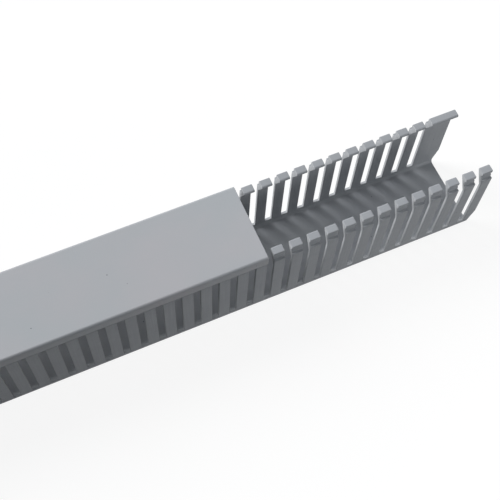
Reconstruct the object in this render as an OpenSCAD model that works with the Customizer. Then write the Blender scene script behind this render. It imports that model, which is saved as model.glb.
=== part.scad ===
// Slotted wiring duct: a one-piece trough with punched finger walls, and its clip-on cover.
// X runs along the duct towards its open end, Y across it and Z up from the mounting face.
// The origin is in the middle of the trough's bottom face. All sizes are in millimetres.

/* [Trough] */
// Length of the trough, measured along the tops of its fingers
trough_length = 1000; // [300:10:2000]
// Width over the outer faces of the two walls
duct_width = 44.5; // [36:0.5:100]
// Height from the mounting face to the top of the closed cover
duct_height = 55; // [40:1:100]
// Thickness of the side walls
wall_thickness = 1.6; // [1.2:0.1:1.8]
// Thickness of the floor
floor_thickness = 1.6; // [1.2:0.1:2.4]
// Outside radius along the two bottom edges
bottom_radius = 2; // [0.5:0.5:3]
// Radius of the fillet between the floor and each wall
floor_fillet = 2; // [0.5:0.5:3]

/* [Fingers] */
// Distance from one slot to the next
slot_pitch = 10; // [8:0.5:25]
// Width of each slot
slot_width = 4; // [3:0.5:6]
// Height of the unpunched strip under the slots
slot_base = 4; // [4:0.5:12]
// Width of the end finger at the plain end, at its narrowest
plain_end_finger = 6; // [3:0.5:12]
// Slot places left unpunched at the open end of the back wall
back_blank_places = 1; // [0:1:3]

/* [Finger heads] */
// How far each head reaches in from the wall's outer face
head_reach = 6; // [4.5:0.1:7]
// Height of the sloped stretch where the wall leans in below the ledge
head_root = 4.5; // [3:0.5:6]
// Radius of the rounded lip on the inside of the head
lip_radius = 1; // [0.6:0.1:1.1]
// Radius of the outer top edge of the head
nose_radius = 0.5; // [0.3:0.1:0.8]

/* [Cover] */
// Length of the cover
cover_length = 1000; // [300:10:2000]
// How far the cover's end stands back from the trough's open end
cover_setback = 129.5; // [0:0.5:250]
// Thickness of the cover's top
cover_thickness = 1.5; // [1:0.1:1.8]
// Thickness of the cover's two legs
leg_thickness = 1.2; // [1:0.1:1.5]
// Height of the cover from its top to the bottom of its legs
cover_drop = 6.8; // [6.4:0.1:12]
// Radius along the cover's two top edges
cover_radius = 1.5; // [0.4:0.1:2.2]

/* [Snap fit] */
// Height of the snap groove at its mouth
catch_height = 2.2; // [2:0.1:2.4]
// Depth of the snap groove, and height of the bead that sits in it
catch_depth = 0.55; // [0.4:0.05:0.65]
// Distance from the ledge up to the middle of the snap groove
catch_rise = 2.3; // [1.4:0.1:2.5]
// Gap between the cover and the trough wherever they face each other
fit_clearance = 0.3; // [0.2:0.05:0.4]

/* [Open end] */
// How far the floor's end stands back from the fingers' ends
end_setback = 3.5; // [0:0.1:5]
// Height from which the walls' ends slant back to the floor's end
setback_height = 12; // [4:0.5:16]

/* [Hidden] */
$fn = 48;
// Reach of a cutting shape past the material that it cuts
over = 1;
// Flats that make up the round of a head's nose and lip
nose_steps = 3;
lip_steps = 5;
open_end = trough_length / 2;
plain_end = -trough_length / 2;
cover_end = open_end - cover_setback;
half_width = duct_width / 2;
// Heights of the heads' tops, and of the ledge that the cover's legs stop above
finger_top = duct_height - cover_thickness - fit_clearance;
ledge_height = duct_height - cover_drop - fit_clearance;
catch_level = ledge_height + catch_rise;
// The heads stand in from the outer faces to leave room for the cover's legs
head_recess = leg_thickness + fit_clearance;
slot_count = floor((trough_length - plain_end_finger) / slot_pitch);
trough_colour = "#74787C";
cover_colour = "#A4A7AB";

// Stretches a section in the YZ plane along X, from one place to another
module along_duct(from, to) {
    translate([from, 0, 0]) rotate([90, 0, 90]) linear_extrude(to - from) children();
}

// A bar along X that is rounded along its two lower edges
module round_bottomed_bar(from, to, width, level, height, radius) {
    translate([from, -width / 2 + radius, level]) cube([to - from, width - 2 * radius, height]);
    translate([from, -width / 2, level + radius]) cube([to - from, width, height - radius]);
    for (side = [-1, 1])
        translate([from, side * (width / 2 - radius), level + radius])
            rotate([0, 90, 0]) cylinder(h = to - from, r = radius);
}

// The catch's ridge along X, in the wall at -Y, with sloped flanks
module catch_ridge(from, to, foot, height, depth) {
    along_duct(from, to) translate([foot - half_width, catch_level]) polygon([
        [-over / 2, -height / 2], [0, -height / 2], [depth, depth - height / 2],
        [depth, height / 2 - depth], [0, height / 2], [-over / 2, height / 2]
    ]);
}

// The points of an arc, from one angle to another, both ends included
function arc(centre, radius, from, to, steps) = [
    for (i = [0 : steps])
        let (angle = from + (to - from) * i / steps)
        centre + radius * [cos(angle), sin(angle)]
];

// The row of heads on the wall at -Y, before its slots are punched
module head_rail(from, to) {
    root = [wall_thickness, ledge_height - head_root];
    lip = [head_reach - lip_radius, finger_top - lip_radius];
    nose = [head_recess + nose_radius, finger_top - nose_radius];
    // The underside runs from the root to where it touches the lip's arc
    slope = atan2(lip.y - root.y, lip.x - root.x) - asin(lip_radius / norm(lip - root));
    difference() {
        along_duct(from, to) translate([-half_width, 0]) polygon(concat(
            [[0, root.y - over], [0, ledge_height], [head_recess, ledge_height]],
            arc(nose, nose_radius, 180, 90, nose_steps),
            arc(lip, lip_radius, 90, slope - 90, lip_steps),
            [root, [root.x, root.y - over]]
        ));
        catch_ridge(from - over, to + over, head_recess, catch_height, catch_depth);
    }
}

// The trough as it leaves the die, with plain walls and no slots
module trough_extrusion(from, to) {
    inner_width = duct_width - 2 * wall_thickness;
    difference() {
        round_bottomed_bar(from, to, duct_width, 0, ledge_height - head_root, bottom_radius);
        round_bottomed_bar(from - over, to + over, inner_width, floor_thickness,
                           duct_height, floor_fillet);
    }
    for (side = [0, 1])
        mirror([0, side, 0]) head_rail(from, to);
}

// The slots of the wall at -Y, counted from the open end
module wall_slots(first) {
    for (place = [first : slot_count])
        translate([open_end - place * slot_pitch, -half_width - over, slot_base])
            cube([slot_width, head_reach + 2 * over, duct_height]);
}

// Everything beyond the open end, which is upright above and slants back to the floor's end
module end_cut() {
    foot = [open_end - end_setback * (1 + over / setback_height), -over];
    translate([0, duct_width, 0]) rotate([90, 0, 0]) linear_extrude(2 * duct_width) polygon([
        foot, [open_end + 2 * over, foot.y], [open_end + 2 * over, duct_height],
        [open_end, duct_height], [open_end, setback_height]
    ]);
}

module trough() {
    color(trough_colour) difference() {
        trough_extrusion(plain_end, open_end + over);
        wall_slots(1);
        mirror([0, 1, 0]) wall_slots(1 + back_blank_places);
        end_cut();
    }
}

// A flat top, two short legs, and a snap bead along the inside of each leg
module cover() {
    from = cover_end - cover_length;
    inner_width = duct_width - 2 * leg_thickness;
    color(cover_colour) {
        difference() {
            translate([0, 0, duct_height]) mirror([0, 0, 1])
                round_bottomed_bar(from, cover_end, duct_width, 0, cover_drop, cover_radius);
            translate([from - over, -inner_width / 2, duct_height - cover_thickness - cover_drop])
                cube([cover_length + 2 * over, inner_width, cover_drop]);
        }
        for (side = [0, 1])
            mirror([0, side, 0])
                catch_ridge(from, cover_end, leg_thickness, catch_height - 2 * fit_clearance,
                            catch_depth);
    }
}

trough();
cover();
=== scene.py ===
import math

import bmesh
import bpy
from bpy.props import FloatProperty, FloatVectorProperty, IntProperty, PointerProperty, StringProperty
from mathutils import Matrix, Vector


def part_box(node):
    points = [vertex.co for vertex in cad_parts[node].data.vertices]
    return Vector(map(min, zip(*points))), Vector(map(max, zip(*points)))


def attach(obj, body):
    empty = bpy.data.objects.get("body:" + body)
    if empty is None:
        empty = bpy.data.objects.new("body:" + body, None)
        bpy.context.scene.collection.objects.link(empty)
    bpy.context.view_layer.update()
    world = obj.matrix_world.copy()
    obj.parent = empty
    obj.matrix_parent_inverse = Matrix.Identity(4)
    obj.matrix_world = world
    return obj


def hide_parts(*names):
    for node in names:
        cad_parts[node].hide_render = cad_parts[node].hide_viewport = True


bl_info = {
    "name": "Slotted Wiring Duct",
    "version": (1, 0, 0),
    "blender": (4, 5, 0),
    "location": "View3D > Sidebar > Wiring Duct",
    "description": "Builds a punched PVC wiring duct with its sliding cover, its finishes and a studio",
    "category": "Object",
}

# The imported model, and the boxes that give every place below
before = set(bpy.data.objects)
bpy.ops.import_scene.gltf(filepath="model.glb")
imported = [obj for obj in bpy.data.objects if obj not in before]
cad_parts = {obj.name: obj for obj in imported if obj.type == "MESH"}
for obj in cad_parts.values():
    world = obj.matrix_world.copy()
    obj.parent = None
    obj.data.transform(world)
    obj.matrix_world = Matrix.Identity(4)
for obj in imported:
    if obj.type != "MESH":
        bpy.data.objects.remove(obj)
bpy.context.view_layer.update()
TROUGH_LOW, TROUGH_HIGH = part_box("trough")
COVER_LOW, COVER_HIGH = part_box("cover")

MM = 0.001
# Points closer than this are the same point
WELD = 0.005 * MM


# ---------------------------------------------------------------- colours and nodes

def linear(hex_colour):
    """Turns a written sRGB colour, such as #A3A6AA, into linear RGBA."""
    parts = [int(hex_colour[i:i + 2], 16) / 255 for i in (1, 3, 5)]
    curve = [c / 12.92 if c <= 0.04045 else ((c + 0.055) / 1.055) ** 2.4 for c in parts]
    return (*curve, 1.0)


def add_node(tree, kind, settings=None, sockets=None):
    """Adds one node, sets its properties, and gives each socket a value or a link."""
    node = tree.nodes.new(kind)
    for name, value in (settings or {}).items():
        setattr(node, name, value)
    for key, value in (sockets or {}).items():
        if isinstance(value, bpy.types.NodeSocket):
            tree.links.new(value, node.inputs[key])
        else:
            node.inputs[key].default_value = value
    return node


def new_material(name):
    """An empty node material and its tree."""
    material = bpy.data.materials.new(name)
    material.use_nodes = True
    material.node_tree.nodes.clear()
    return material, material.node_tree


# ---------------------------------------------------------------- sizes and colours

class DuctSizes(bpy.types.PropertyGroup):
    """Sizes of the trough and its fingers. Length, width and heights come from the frame."""

    wall: FloatProperty(
        name="Wall", description="Thickness of the side walls",
        default=1.6 * MM, unit="LENGTH")
    floor: FloatProperty(
        name="Floor", description="Thickness of the floor",
        default=1.6 * MM, unit="LENGTH")
    bottom_radius: FloatProperty(
        name="Bottom Radius", description="Radius along the two bottom edges",
        default=2 * MM, unit="LENGTH")
    floor_fillet: FloatProperty(
        name="Floor Fillet", description="Radius of the fillet between the floor and each wall",
        default=2 * MM, unit="LENGTH")
    pitch: FloatProperty(
        name="Slot Pitch", description="Distance from one slot to the next",
        default=10 * MM, unit="LENGTH")
    slot: FloatProperty(
        name="Slot Width", description="Width of each slot",
        default=4 * MM, unit="LENGTH")
    base: FloatProperty(
        name="Slot Base", description="Height of the unpunched strip under the slots",
        default=4 * MM, unit="LENGTH")
    plain_finger: FloatProperty(
        name="Plain End Finger", description="Least width of the finger at the plain end",
        default=6 * MM, unit="LENGTH")
    blank_places: IntProperty(
        name="Blank Places", description="Slot places left unpunched at the back wall's open end",
        default=1)
    reach: FloatProperty(
        name="Head Reach", description="How far each head reaches in from the wall's outer face",
        default=6 * MM, unit="LENGTH")
    root: FloatProperty(
        name="Head Root", description="Height of the slope where the wall leans in below the ledge",
        default=4.5 * MM, unit="LENGTH")
    lip_radius: FloatProperty(
        name="Lip Radius", description="Radius of the lip on the inside of a head",
        default=1 * MM, unit="LENGTH")
    nose_radius: FloatProperty(
        name="Nose Radius", description="Radius of the outer top edge of a head",
        default=0.5 * MM, unit="LENGTH")
    setback: FloatProperty(
        name="End Setback", description="How far the floor's open end stands back from the fingers'",
        default=3.5 * MM, unit="LENGTH")
    corner: FloatProperty(
        name="End Corner", description="Height from which the open end slants back to the floor",
        default=12 * MM, unit="LENGTH")
    edge: FloatProperty(
        name="Edge Rounding", description="Width of the rounding on punched and extruded edges",
        default=0.18 * MM, unit="LENGTH")


class CoverSizes(bpy.types.PropertyGroup):
    """Sizes of the cover and of its catch. Its length, width and heights come from the frame."""

    top: FloatProperty(
        name="Top", description="Thickness of the cover's top",
        default=1.5 * MM, unit="LENGTH")
    leg: FloatProperty(
        name="Leg", description="Thickness of the cover's legs",
        default=1.2 * MM, unit="LENGTH")
    radius: FloatProperty(
        name="Radius", description="Radius along the cover's two top edges",
        default=1.5 * MM, unit="LENGTH")
    catch_height: FloatProperty(
        name="Catch Height", description="Height of the groove at its mouth",
        default=2.2 * MM, unit="LENGTH")
    catch_depth: FloatProperty(
        name="Catch Depth", description="Depth of the groove, and height of the bead in it",
        default=0.55 * MM, unit="LENGTH")
    catch_rise: FloatProperty(
        name="Catch Rise", description="Distance from the ledge up to the middle of the groove",
        default=2.3 * MM, unit="LENGTH")
    gap: FloatProperty(
        name="Gap", description="Gap between the cover and the trough",
        default=0.3 * MM, unit="LENGTH")
    edge: FloatProperty(
        name="Edge Rounding", description="Width of the rounding on the cover's thin edges",
        default=0.2 * MM, unit="LENGTH")


class DuctFinish(bpy.types.PropertyGroup):
    """Colours of the plastic, as sRGB hex, and how matt it is. The trough's colours are set a little
    darker than the cover's, though both are one plastic: that difference is painted shade.
    """

    cover_colour: StringProperty(
        name="Cover", description="Colour of the cover's plastic", default="#A2A6AA")
    # The trough's grey is the plastic's own, set a little darker than the cover's as painted shade
    trough_colour_and_shade: StringProperty(
        name="Trough", description="Colour of the trough's plastic", default="#979A9E")
    trough_cloud: StringProperty(
        name="Trough Cloud", description="Colour that the trough drifts to", default="#919499")
    trough_grain: StringProperty(
        name="Trough Grain", description="Colour of the trough's fine grain", default="#A9ACAF")
    cover_cloud: StringProperty(
        name="Cover Cloud", description="Colour that the cover drifts to", default="#A7A7AB")
    cover_grain: StringProperty(
        name="Cover Grain", description="Colour of the cover's fine grain", default="#AFB1B4")
    speck_colour: StringProperty(
        name="Speck", description="Colour of burnt resin in the plastic", default="#3E4246")
    punched_colour: StringProperty(
        name="Punched", description="Colour of the sheared faces in the slots", default="#B2B4B6")
    roughness: FloatProperty(
        name="Roughness", description="Roughness of extruded rigid PVC",
        default=0.55, min=0.0, max=1.0)
    die_line: FloatProperty(
        name="Die Line", description="Spacing of the fine lines that the die leaves",
        default=1.1 * MM, unit="LENGTH")


class StudioSizes(bpy.types.PropertyGroup):
    """The camera, the lamps and the floor."""

    aim: FloatVectorProperty(
        name="Aim", description="Where the view's axis meets the floor, from the trough's open end",
        default=(-124 * MM, 9.1 * MM, 0.0), subtype="TRANSLATION")
    distance: FloatProperty(
        name="Distance", description="Distance from the aim to the camera",
        default=540.6 * MM, unit="LENGTH")
    heading: FloatProperty(
        name="Heading", description="Direction of the view, turned from +Y towards +X",
        default=math.radians(27.8), subtype="ANGLE")
    dip: FloatProperty(
        name="Dip", description="How far the view looks down",
        default=math.radians(64.25), subtype="ANGLE")
    roll: FloatProperty(
        name="Roll", description="Turn of the camera about its own axis",
        default=math.radians(4.5), subtype="ANGLE")
    lens: FloatProperty(
        name="Lens", description="Focal length on a 36 mm sensor, in millimetres", default=69.7)
    background: StringProperty(
        name="Background", description="Colour of the world that lights the shadows",
        default="#7C7F82")
    paper: StringProperty(
        name="Paper", description="Colour of the floor's paper under the lamps", default="#606060")
    paper_glow: StringProperty(
        name="Paper Glow", description="Brightness that the floor shows to the eye",
        default="#F2F2F2")
    floor_reach: FloatProperty(
        name="Floor Reach", description="Half the side of the square floor",
        default=4.0, unit="LENGTH")
    floor_drop: FloatProperty(
        name="Floor Drop", description="How far the floor lies below the mounting face",
        default=0.1 * MM, unit="LENGTH")
    key_power: FloatProperty(
        name="Key Power", description="Strength of the broad key light", default=4.4)
    key_spread: FloatProperty(
        name="Key Spread", description="Angle across the key light, which softens its shadows",
        default=math.radians(40), subtype="ANGLE")
    key_from: FloatVectorProperty(
        name="Key From", description="Direction that the key light comes from",
        default=(-0.72, 0.66, 0.62), subtype="DIRECTION")
    pool_power: FloatProperty(
        name="Pool Power", description="Strength of the soft pool of light at the open end",
        default=8.0)
    pool_size: FloatProperty(
        name="Pool Size", description="Radius of the pool's lamp", default=0.14, unit="LENGTH")
    pool_cone: FloatProperty(
        name="Pool Cone", description="Angle across the pool's cone",
        default=math.radians(34), subtype="ANGLE")
    pool_place: FloatVectorProperty(
        name="Pool Place", description="Place of the pool's lamp, from the aim",
        default=(0.42, -0.62, 0.3), subtype="TRANSLATION")
    pool_target: FloatVectorProperty(
        name="Pool Target", description="Middle of the pool of light, from the aim",
        default=(0.1, -0.02, 0.03), subtype="TRANSLATION")


# ---------------------------------------------------------------- mesh of the extrusions

def arc(centre, radius, start, end, steps):
    """Points of an arc in the section's plane, both ends included. Angles are in degrees."""
    angles = [math.radians(start + (end - start) * i / steps) for i in range(steps + 1)]
    return [(centre[0] + radius * math.cos(a), centre[1] + radius * math.sin(a)) for a in angles]


class Shell:
    """A mesh being built from faces. Points at the same place become one vertex."""

    def __init__(self):
        self.points = {}
        self.faces = []
        self.punched = []

    def point(self, place):
        key = tuple(round(c / WELD) for c in place)
        if key not in self.points:
            self.points[key] = (len(self.points), place)
        return self.points[key][0]

    def face(self, places, punched=False):
        self.faces.append([self.point(p) for p in places])
        self.punched.append(punched)

    def strip(self, first, second, start, end, punched=False):
        """One face between two (y, z) points of a section, from one station to the next."""
        self.face([(station(z), y, z) for (y, z), station in (
            (first, start), (first, end), (second, end), (second, start))], punched)

    def sweep(self, outline, start, end, closed):
        """Faces along an outline of (y, z) points, from one station to the next."""
        count = len(outline) if closed else len(outline) - 1
        for i in range(count):
            self.strip(outline[i], outline[(i + 1) % len(outline)], start, end)

    def cap(self, outline, station):
        """One flat face across an outline at a station."""
        self.face([(station(z), y, z) for y, z in outline], punched=True)

    def build(self, name):
        """The finished mesh as an object. Its punched faces carry an attribute of that name."""
        mesh = bpy.data.meshes.new(name)
        ordered = sorted(self.points.values(), key=lambda item: item[0])
        mesh.from_pydata([place for _, place in ordered], [], self.faces)
        mesh.attributes.new("punched", "BOOLEAN", "FACE").data.foreach_set("value", self.punched)
        made = bpy.data.objects.new(name, mesh)
        bpy.context.scene.collection.objects.link(made)
        return made


def flat(x):
    """A station square across the duct."""
    return lambda z: x


def finger_outline(duct, cover, side):
    """One finger's outline in (y, z), from its outer foot up over the head to its inner foot."""
    top = TROUGH_HIGH.z
    ledge = COVER_LOW.z - cover.gap
    recess = cover.leg + cover.gap
    catch = ledge + cover.catch_rise
    half = cover.catch_height / 2
    root = Vector((duct.wall, ledge - duct.root))
    lip = Vector((duct.reach - duct.lip_radius, top - duct.lip_radius))
    nose = (recess + duct.nose_radius, top - duct.nose_radius)
    run = lip - root
    slope = math.degrees(math.atan2(run.y, run.x) - math.asin(duct.lip_radius / run.length))
    outline = [
        (0.0, duct.base), (0.0, duct.corner), (0.0, ledge), (recess, ledge),
        (recess, catch - half), (recess + cover.catch_depth, catch - half + cover.catch_depth),
        (recess + cover.catch_depth, catch + half - cover.catch_depth), (recess, catch + half),
    ]
    outline += arc(nose, duct.nose_radius, 180, 90, 4)
    outline += arc(lip, duct.lip_radius, 90, slope - 90, 6)
    outline += [tuple(root), (duct.wall, duct.corner), (duct.wall, duct.base)]
    half_width = TROUGH_HIGH.y
    return [(side * (half_width - u), z) for u, z in outline]


def channel_sides(duct):
    """The channel below the slots in (y, z): its outside, and its inside run the other way."""
    half = TROUGH_HIGH.y
    inner = half - duct.wall
    r, f = duct.bottom_radius, duct.floor_fillet
    left = [(-half, duct.base)] + arc((r - half, r), r, 180, 270, 5)
    outside = left + [(-y, z) for y, z in reversed(left)]
    corner = [(-inner, duct.base)] + arc((f - inner, duct.floor + f), f, 180, 270, 5)
    inside = [(-y, z) for y, z in corner] + list(reversed(corner))
    return outside, inside


def punched_stretch(shell, duct, cover, stations, slots, ends):
    """A stretch of the trough. slots[side] holds the spans, between stations, that are slots."""
    outside, inside = channel_sides(duct)
    feet = {side: [(side * TROUGH_HIGH.y, duct.base), (side * (TROUGH_HIGH.y - duct.wall), duct.base)]
            for side in (-1, 1)}
    fingers = {side: finger_outline(duct, cover, side) for side in (-1, 1)}
    last = len(stations) - 2
    for span in range(last + 1):
        start, end = stations[span], stations[span + 1]
        shell.sweep(outside, start, end, closed=False)
        shell.sweep(inside, start, end, closed=False)
        for side in (-1, 1):
            if span in slots[side]:
                shell.strip(*feet[side], start, end, punched=True)
                continue
            shell.sweep(fingers[side], start, end, closed=False)
            # Each end face is in two parts, which meet where a slanted cut turns upright
            for part in (fingers[side][:2] + fingers[side][-2:], fingers[side][1:-1]):
                if span - 1 in slots[side] or (span == 0 and "start" in ends):
                    shell.cap(part, start)
                if span + 1 in slots[side] or (span == last and "end" in ends):
                    shell.cap(part, end)
    for name, station in (("start", stations[0]), ("end", stations[-1])):
        if name in ends:
            shell.cap(outside + inside, station)


def finger_cell(duct, cover):
    """One finger on each wall with half a slot to each side, about X = 0."""
    half = (duct.pitch - duct.slot) / 2
    stations = [flat(x) for x in (-duct.pitch / 2, -half, half, duct.pitch / 2)]
    shell = Shell()
    punched_stretch(shell, duct, cover, stations, {-1: (0, 2), 1: (0, 2)}, ends=())
    return shell.build("finger_cell")


def trough_ends(duct, cover, slot_count):
    """The stretch at the open end, whose foot slants back, and the one at the plain end."""
    shell = Shell()
    open_end, plain_end = TROUGH_HIGH.x, TROUGH_LOW.x

    def end_cut(z):
        return open_end - duct.setback * max(0.0, 1 - z / duct.corner)

    # It starts in the middle of the first slot that both walls have
    stations = [flat(open_end - (1 + duct.blank_places) * duct.pitch + duct.slot / 2)]
    front = [0]
    for place in range(1 + duct.blank_places, 0, -1):
        slot_start = open_end - place * duct.pitch
        if place <= duct.blank_places:
            front.append(len(stations))
            stations.append(flat(slot_start))
        stations.append(flat(slot_start + duct.slot))
    stations.append(end_cut)
    punched_stretch(shell, duct, cover, stations, {-1: front, 1: [0]}, ends=("end",))

    last_slot = open_end - slot_count * duct.pitch
    plain = [flat(x) for x in (plain_end, last_slot, last_slot + duct.slot / 2)]
    punched_stretch(shell, duct, cover, plain, {-1: (1,), 1: (1,)}, ends=("start",))
    return shell.build("trough_ends")


def cover_outline(cover):
    """The cover's section in (y, z): over the top, then back along the inside with its beads."""
    half, top, bottom = COVER_HIGH.y, COVER_HIGH.z, COVER_LOW.z
    catch = bottom - cover.gap + cover.catch_rise
    bead = cover.catch_height / 2 - cover.gap
    left = [(-half, bottom)] + arc((cover.radius - half, top - cover.radius), cover.radius, 180, 90, 6)
    outside = left + [(-y, z) for y, z in reversed(left)]
    depth = cover.catch_depth
    rise = [(cover.leg, bottom), (cover.leg, catch - bead), (cover.leg + depth, catch - bead + depth),
            (cover.leg + depth, catch + bead - depth), (cover.leg, catch + bead),
            (cover.leg, top - cover.top)]
    inside = [(half - u, z) for u, z in rise]
    return outside + inside + [(-y, z) for y, z in reversed(inside)]


def punched_duct_tree():
    """Repeats the finger cell along the duct, joins the two ends and sets the two materials."""
    tree = bpy.data.node_groups.new("Punched Duct", "GeometryNodeTree")

    def socket(name, kind, direction="INPUT"):
        return tree.interface.new_socket(name=name, in_out=direction, socket_type=kind)

    socket("Geometry", "NodeSocketGeometry", "OUTPUT")
    socket("Cell", "NodeSocketObject")
    socket("Ends", "NodeSocketObject")
    socket("Cell Count", "NodeSocketInt")
    socket("Pitch", "NodeSocketFloat")
    socket("First Cell", "NodeSocketFloat")
    socket("Weld", "NodeSocketFloat")
    socket("Extruded", "NodeSocketMaterial")
    socket("Punched", "NodeSocketMaterial")
    given = add_node(tree, "NodeGroupInput").outputs
    first = add_node(tree, "ShaderNodeCombineXYZ", sockets={"X": given["First Cell"]})
    step = add_node(tree, "ShaderNodeCombineXYZ", sockets={"X": given["Pitch"]})
    line = add_node(tree, "GeometryNodeMeshLine", {"mode": "OFFSET"}, {
        "Count": given["Cell Count"], "Start Location": first.outputs[0], "Offset": step.outputs[0]})
    cell = add_node(tree, "GeometryNodeObjectInfo", sockets={"Object": given["Cell"]})
    ends = add_node(tree, "GeometryNodeObjectInfo", sockets={"Object": given["Ends"]})
    row = add_node(tree, "GeometryNodeInstanceOnPoints", sockets={
        "Points": line.outputs["Mesh"], "Instance": cell.outputs["Geometry"]})
    whole = add_node(tree, "GeometryNodeJoinGeometry", sockets={"Geometry": row.outputs["Instances"]})
    tree.links.new(ends.outputs["Geometry"], whole.inputs["Geometry"])
    real = add_node(tree, "GeometryNodeRealizeInstances", sockets={"Geometry": whole.outputs[0]})
    welded = add_node(tree, "GeometryNodeMergeByDistance", sockets={
        "Geometry": real.outputs[0], "Distance": given["Weld"]})
    punched = add_node(tree, "GeometryNodeInputNamedAttribute", {"data_type": "BOOLEAN"},
                       {"Name": "punched"})
    skin = add_node(tree, "GeometryNodeSetMaterial", sockets={
        "Geometry": welded.outputs[0], "Material": given["Extruded"]})
    cuts = add_node(tree, "GeometryNodeSetMaterial", sockets={
        "Geometry": skin.outputs[0], "Selection": punched.outputs["Attribute"],
        "Material": given["Punched"]})
    add_node(tree, "NodeGroupOutput", sockets={"Geometry": cuts.outputs[0]})
    return tree


def set_inputs(modifier, values):
    """Sets a Geometry Nodes modifier's inputs, each by its socket's identifier."""
    for item in modifier.node_group.interface.items_tree:
        if item.in_out == "INPUT" and item.name in values:
            modifier[item.identifier] = values[item.name]


def baked(made, name):
    """Replaces an object's mesh by what its modifiers make of it, and removes them."""
    evaluated = made.evaluated_get(bpy.context.evaluated_depsgraph_get())
    mesh = bpy.data.meshes.new_from_object(evaluated)
    mesh.name = name
    made.modifiers.clear()
    made.data = mesh
    return made


def finish_edges(made, width):
    """Turns all faces outwards, rounds the sharp edges and shades the flats flat."""
    shape = bmesh.new()
    shape.from_mesh(made.data)
    open_edges = [edge for edge in shape.edges if not edge.is_manifold]
    if open_edges:
        raise RuntimeError(f"{made.name} has {len(open_edges)} open edges")
    bmesh.ops.recalc_face_normals(shape, faces=shape.faces)
    shape.to_mesh(made.data)
    shape.free()
    bevel = made.modifiers.new("Rounded Edges", "BEVEL")
    bevel.width = width
    bevel.segments = 1
    bevel.limit_method = "ANGLE"
    bevel.angle_limit = math.radians(38)
    bevel.use_clamp_overlap = True
    baked(made, made.name)
    made.data.shade_smooth()
    made.data.set_sharp_from_angle(angle=math.radians(50))
    level = made.modifiers.new("Level Flats", "WEIGHTED_NORMAL")
    level.keep_sharp = True
    level.weight = 100
    baked(made, made.name)


def discard(*objects):
    """Removes working objects and their meshes."""
    for item in objects:
        mesh = item.data
        bpy.data.objects.remove(item)
        bpy.data.meshes.remove(mesh)


# ---------------------------------------------------------------- materials

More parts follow.
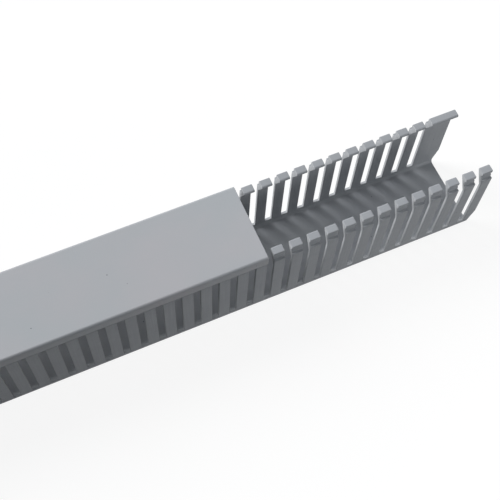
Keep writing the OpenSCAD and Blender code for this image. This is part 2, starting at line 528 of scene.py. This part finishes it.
def extruded_pvc(name, colour, finish, streaks):
    """Extruded rigid PVC: a satin skin with faint die lines along the duct and slight clouding.

    The three colours are the body's, the one that it drifts to, and the fine grain's.
    The eye sees an even grey that drifts a little lighter and darker over a few centimetres, a
    soft broad sheen, and here and there a dark speck of burnt resin in the plastic.
    """
    material, tree = new_material(name)
    coordinates = add_node(tree, "ShaderNodeTexCoord").outputs["Object"]

    def pattern(length, width, height, detail, rough=0.5):
        """Noise whose features measure length along X, width along Y and height along Z."""
        scaled = add_node(tree, "ShaderNodeMapping", sockets={
            "Vector": coordinates, "Scale": (1 / length, 1 / width, 1 / height)})
        return add_node(tree, "ShaderNodeTexNoise", sockets={
            "Vector": scaled.outputs[0], "Scale": 1.0, "Detail": detail, "Roughness": rough})

    def tint(base, factor, top, strength):
        """Blends a second colour over the base where the factor is high."""
        amount = add_node(tree, "ShaderNodeMath", {"operation": "MULTIPLY"}, {0: factor, 1: strength})
        mixed = add_node(tree, "ShaderNodeMix", {"data_type": "RGBA"}, {
            0: amount.outputs[0], 6: base, 7: top})
        return mixed.outputs[2]

    clouds = pattern(38 * MM, 30 * MM, 30 * MM, 3.0, 0.55)
    grain = pattern(0.9 * MM, 0.9 * MM, 0.9 * MM, 2.0)
    lines = pattern(320 * MM, finish.die_line, finish.die_line, 2.0)
    spread = add_node(tree, "ShaderNodeMapRange", sockets={
        "Value": clouds.outputs["Fac"], "From Min": 0.32, "From Max": 0.68})
    body = add_node(tree, "ShaderNodeMix", {"data_type": "RGBA"}, {
        0: spread.outputs[0], 6: linear(colour[0]), 7: linear(colour[1])}).outputs[2]
    body = tint(body, grain.outputs["Fac"], linear(colour[2]), 0.16)

    # Specks of burnt resin about half a millimetre across, at most one to each 8 mm cell
    cells = add_node(tree, "ShaderNodeMapping", sockets={
        "Vector": coordinates, "Scale": (1 / (8 * MM),) * 3})
    spots = add_node(tree, "ShaderNodeTexVoronoi", {"feature": "F1"}, {
        "Vector": cells.outputs[0], "Scale": 1.0, "Randomness": 1.0})
    near = add_node(tree, "ShaderNodeMapRange", sockets={
        "Value": spots.outputs["Distance"], "From Min": 0.022, "From Max": 0.05,
        "To Min": 1.0, "To Max": 0.0})
    body = tint(body, near.outputs[0], linear(finish.speck_colour), 0.75)

    if streaks:
        # The fingers are drawn and wiped upright after punching, which leaves fine upright marks
        upright = pattern(0.55 * MM, 0.55 * MM, 26 * MM, 2.0)
        side = add_node(tree, "ShaderNodeSeparateXYZ", sockets={
            "Vector": add_node(tree, "ShaderNodeNewGeometry").outputs["True Normal"]})
        facing = add_node(tree, "ShaderNodeMath", {"operation": "ABSOLUTE"}, {0: side.outputs["Y"]})
        shade = add_node(tree, "ShaderNodeMapRange", sockets={
            "Value": upright.outputs["Fac"], "From Min": 0.45, "From Max": 0.75})
        marks = add_node(tree, "ShaderNodeMath", {"operation": "MULTIPLY"}, {
            0: shade.outputs[0], 1: facing.outputs[0]})
        body = tint(body, marks.outputs[0], linear(colour[2]), 0.35)
    gloss = add_node(tree, "ShaderNodeMapRange", sockets={
        "Value": lines.outputs["Fac"], "From Min": 0.3, "From Max": 0.7,
        "To Min": finish.roughness - 0.05, "To Max": finish.roughness + 0.07})
    drawn = add_node(tree, "ShaderNodeBump", sockets={
        "Height": lines.outputs["Fac"], "Strength": 0.12, "Distance": 0.1 * MM})
    fine = add_node(tree, "ShaderNodeBump", sockets={
        "Height": grain.outputs["Fac"], "Strength": 0.1, "Distance": 0.05 * MM,
        "Normal": drawn.outputs[0]})
    # Walls of drawn plastic are never quite flat: waves of a few centimetres bend the sheen
    waves = add_node(tree, "ShaderNodeBump", sockets={
        "Height": clouds.outputs["Fac"], "Strength": 0.25, "Distance": 0.4 * MM,
        "Normal": fine.outputs[0]})
    plastic = add_node(tree, "ShaderNodeBsdfPrincipled", sockets={
        "Base Color": body, "Roughness": gloss.outputs[0], "IOR": 1.53, "Specular IOR Level": 0.25,
        "Normal": waves.outputs[0]})
    add_node(tree, "ShaderNodeOutputMaterial", sockets={"Surface": plastic.outputs[0]})
    return material


def punched_pvc(finish):
    """Rigid PVC sheared by the punch and sawn at the ends: paler, dry and finely dragged.

    The eye sees a dull face, a little lighter than the skin, with upright tear marks.
    """
    material, tree = new_material("punched_rigid_pvc")
    coordinates = add_node(tree, "ShaderNodeTexCoord").outputs["Object"]
    drag = add_node(tree, "ShaderNodeMapping", sockets={
        "Vector": coordinates, "Scale": (1 / (0.3 * MM), 1 / (0.3 * MM), 1 / (3 * MM))})
    tears = add_node(tree, "ShaderNodeTexNoise", sockets={
        "Vector": drag.outputs[0], "Scale": 1.0, "Detail": 3.0})
    # The trough's grey, with its painted shade, is the darker end of the sheared faces' tear marks
    dark = linear(finish.trough_colour_and_shade)
    colour = add_node(tree, "ShaderNodeMix", {"data_type": "RGBA"}, {
        0: tears.outputs["Fac"], 6: dark, 7: linear(finish.punched_colour)})
    rough = add_node(tree, "ShaderNodeBump", sockets={
        "Height": tears.outputs["Fac"], "Strength": 0.35, "Distance": 0.12 * MM})
    plastic = add_node(tree, "ShaderNodeBsdfPrincipled", sockets={
        "Base Color": colour.outputs[2], "Roughness": 0.75, "IOR": 1.53, "Normal": rough.outputs[0]})
    add_node(tree, "ShaderNodeOutputMaterial", sockets={"Surface": plastic.outputs[0]})
    return material


def studio_floor(studio):
    """Pale matt paper: white to the eye, with the duct's own soft shadow on it."""
    material, tree = new_material("pale_studio_paper")
    path = add_node(tree, "ShaderNodeLightPath").outputs
    seen = add_node(tree, "ShaderNodeMath", {"operation": "MAXIMUM"}, {
        0: path["Is Camera Ray"], 1: path["Is Glossy Ray"]})
    shown = add_node(tree, "ShaderNodeMath", {"operation": "MAXIMUM"}, {
        0: seen.outputs[0], 1: path["Is Transmission Ray"]})
    paper = add_node(tree, "ShaderNodeBsdfDiffuse", sockets={"Color": linear(studio.paper)})
    glow = add_node(tree, "ShaderNodeEmission", sockets={
        "Color": linear(studio.paper_glow), "Strength": shown.outputs[0]})
    both = add_node(tree, "ShaderNodeAddShader", sockets={0: paper.outputs[0], 1: glow.outputs[0]})
    add_node(tree, "ShaderNodeOutputMaterial", sockets={"Surface": both.outputs[0]})
    return material


# ---------------------------------------------------------------- operators

class WIRING_OT_trough(bpy.types.Operator):
    """Build the punched trough"""

    bl_idname = "wiring.trough"
    bl_label = "Trough"

    def execute(self, context):
        duct, cover, finish = (context.scene.duct_sizes, context.scene.cover_sizes,
                               context.scene.duct_finish)
        length = TROUGH_HIGH.x - TROUGH_LOW.x
        slots = int((length - duct.plain_finger) / duct.pitch + WELD)
        cell, ends = finger_cell(duct, cover), trough_ends(duct, cover, slots)
        # The trough's three colours carry painted shade: they are set a little darker than the cover's,
        # which is the same plastic
        skin = extruded_pvc("extruded_rigid_pvc_trough",
                            (finish.trough_colour_and_shade, finish.trough_cloud, finish.trough_grain),
                            finish, streaks=True)
        trough = bpy.data.objects.new("punched_trough", bpy.data.meshes.new("punched_trough"))
        context.scene.collection.objects.link(trough)
        row = trough.modifiers.new("Punched Duct", "NODES")
        row.node_group = punched_duct_tree()
        set_inputs(row, {
            "Cell": cell, "Ends": ends, "Cell Count": slots - 1 - duct.blank_places,
            "Pitch": duct.pitch, "Weld": WELD,
            "First Cell": TROUGH_HIGH.x - slots * duct.pitch + (duct.slot + duct.pitch) / 2,
            "Extruded": skin, "Punched": punched_pvc(finish)})
        baked(trough, "punched_trough")
        discard(cell, ends)
        finish_edges(trough, duct.edge)
        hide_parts("trough")
        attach(trough, "trough")
        return {"FINISHED"}


class WIRING_OT_cover(bpy.types.Operator):
    """Build the cover that slides along the trough"""

    bl_idname = "wiring.cover"
    bl_label = "Cover"

    def execute(self, context):
        cover, finish = context.scene.cover_sizes, context.scene.duct_finish
        outline = cover_outline(cover)
        ends = (flat(COVER_LOW.x), flat(COVER_HIGH.x))
        shell = Shell()
        shell.sweep(outline, *ends, closed=True)
        for station in ends:
            shell.cap(outline, station)
        made = shell.build("slide_cover")
        made.data.materials.append(extruded_pvc(
            "extruded_rigid_pvc_cover",
            (finish.cover_colour, finish.cover_cloud, finish.cover_grain),
            finish, streaks=False))
        finish_edges(made, cover.edge)
        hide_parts("cover")
        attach(made, "cover")
        return {"FINISHED"}


class WIRING_OT_studio(bpy.types.Operator):
    """Set up the floor, the lamps, the world and the camera"""

    bl_idname = "wiring.studio"
    bl_label = "Studio"

    def lamp(self, context, light, place, direction):
        """Puts a lamp in the scene, shining along a direction."""
        made = bpy.data.objects.new(light.name, light)
        made.location = place
        made.rotation_euler = direction.to_track_quat("-Z", "Y").to_euler()
        context.scene.collection.objects.link(made)

    def execute(self, context):
        studio = context.scene.studio_sizes
        aim = Vector((TROUGH_HIGH.x, 0.0, 0.0)) + Vector(studio.aim)

        reach, level = studio.floor_reach, -studio.floor_drop
        corners = [(x * reach, y * reach, level) for x, y in ((-1, -1), (1, -1), (1, 1), (-1, 1))]
        mesh = bpy.data.meshes.new("floor")
        mesh.from_pydata(corners, [], [(0, 1, 2, 3)])
        mesh.materials.append(studio_floor(studio))
        floor = bpy.data.objects.new("floor", mesh)
        context.scene.collection.objects.link(floor)

        key = bpy.data.lights.new("left_key", "SUN")
        key.energy = studio.key_power
        key.angle = studio.key_spread
        self.lamp(context, key, (0.0, 0.0, 0.0), -Vector(studio.key_from))

        pool = bpy.data.lights.new("end_pool", "SPOT")
        pool.energy = studio.pool_power
        pool.shadow_soft_size = studio.pool_size
        pool.spot_size = studio.pool_cone
        pool.spot_blend = 1.0
        place = aim + Vector(studio.pool_place)
        self.lamp(context, pool, place, aim + Vector(studio.pool_target) - place)

        world = bpy.data.worlds.new("studio_world")
        world.use_nodes = True
        tree = world.node_tree
        tree.nodes.clear()
        path = add_node(tree, "ShaderNodeLightPath").outputs
        grey = add_node(tree, "ShaderNodeBackground", sockets={
            "Color": linear(studio.background), "Strength": 1.0})
        white = add_node(tree, "ShaderNodeBackground", sockets={"Color": (1, 1, 1, 1), "Strength": 1.0})
        seen = add_node(tree, "ShaderNodeMath", {"operation": "MAXIMUM"}, {
            0: path["Is Camera Ray"], 1: path["Is Glossy Ray"]})
        clear = add_node(tree, "ShaderNodeMath", {"operation": "MAXIMUM"}, {
            0: seen.outputs[0], 1: path["Is Transmission Ray"]})
        shown = add_node(tree, "ShaderNodeMixShader", sockets={
            0: clear.outputs[0], 1: grey.outputs[0], 2: white.outputs[0]})
        add_node(tree, "ShaderNodeOutputWorld", sockets={"Surface": shown.outputs[0]})
        context.scene.world = world

        camera = bpy.data.cameras.new("camera")
        camera.sensor_width = 36.0
        camera.lens = studio.lens
        camera.clip_start = 0.01
        made = bpy.data.objects.new("camera", camera)
        turn = (Matrix.Rotation(-studio.heading, 3, "Z")
                @ Matrix.Rotation(math.pi / 2 - studio.dip, 3, "X")
                @ Matrix.Rotation(studio.roll, 3, "Z"))
        made.rotation_euler = turn.to_euler()
        made.location = aim + turn @ Vector((0.0, 0.0, studio.distance))
        context.scene.collection.objects.link(made)
        context.scene.camera = made
        context.scene.view_settings.view_transform = "Standard"
        return {"FINISHED"}


class WIRING_PT_panel(bpy.types.Panel):
    """Sizes, colours and build steps of the wiring duct"""

    bl_idname = "WIRING_PT_panel"
    bl_label = "Wiring Duct"
    bl_space_type = "VIEW_3D"
    bl_region_type = "UI"
    bl_category = "Wiring Duct"

    def draw(self, context):
        for group in (context.scene.duct_sizes, context.scene.cover_sizes,
                      context.scene.duct_finish, context.scene.studio_sizes):
            box = self.layout.box()
            for name in group.bl_rna.properties.keys():
                if name not in ("rna_type", "name"):
                    box.prop(group, name)
        for operator in OPERATORS:
            self.layout.operator(operator.bl_idname)


# ---------------------------------------------------------------- registration

GROUPS = {"duct_sizes": DuctSizes, "cover_sizes": CoverSizes, "duct_finish": DuctFinish,
          "studio_sizes": StudioSizes}
OPERATORS = (WIRING_OT_trough, WIRING_OT_cover, WIRING_OT_studio)


def register():
    for cls in (*GROUPS.values(), *OPERATORS, WIRING_PT_panel):
        bpy.utils.register_class(cls)
    for name, group in GROUPS.items():
        setattr(bpy.types.Scene, name, PointerProperty(type=group))


def unregister():
    for name in GROUPS:
        delattr(bpy.types.Scene, name)
    for cls in reversed((*GROUPS.values(), *OPERATORS, WIRING_PT_panel)):
        bpy.utils.unregister_class(cls)


def main():
    register()
    bpy.ops.wiring.trough()
    bpy.ops.wiring.cover()
    bpy.ops.wiring.studio()


if __name__ == "__main__":
    main()
